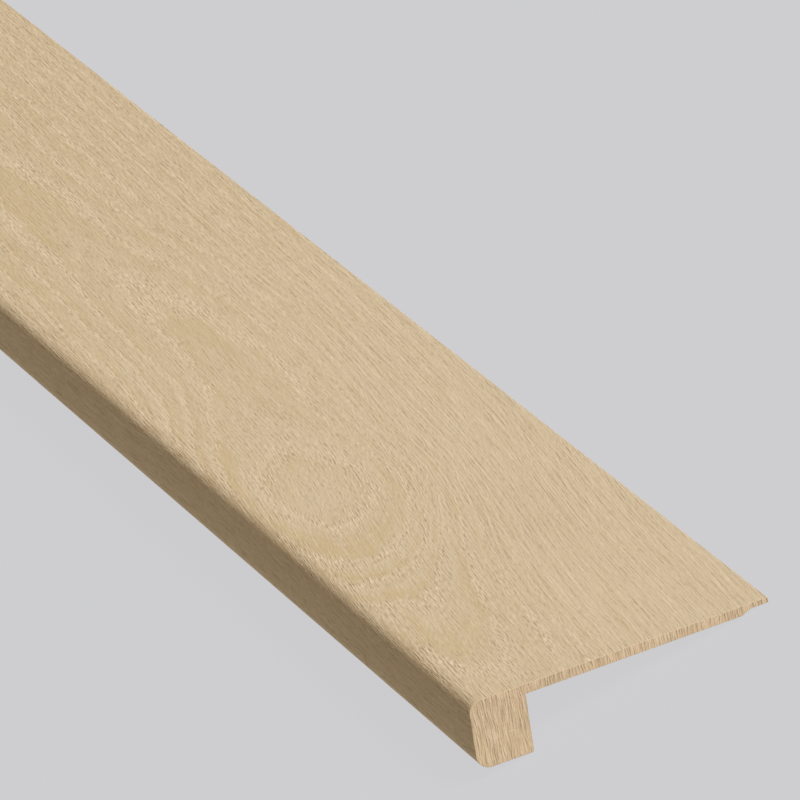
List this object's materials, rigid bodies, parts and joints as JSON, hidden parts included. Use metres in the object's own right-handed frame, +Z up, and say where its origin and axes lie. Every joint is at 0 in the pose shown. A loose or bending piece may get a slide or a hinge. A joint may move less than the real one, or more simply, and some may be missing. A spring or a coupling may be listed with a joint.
{
  "type": "flush stair nosing",
  "caption": "One-piece oak stair nosing: a thin plate for the tread, a rounded nose that hangs over the riser, and a rebated lip along the back edge.",
  "frame": {"origin": "on the floor, under the middle of the nosing's bounding box", "axes": "+X along the nosing's length, -Y towards the rounded nose, +Y towards the lip at the back, +Z up; the nosing lies as it comes to rest, tipped back 14.4 degrees about X off its nose"},
  "size_m": [1.2, 0.1114, 0.0284],
  "materials": {
    "oak": "matt brushed pale oak with embossed grain"
  },
  "bodies": {
    "root": {"stair_nosing": "oak"}
  },
  "joints": []
}
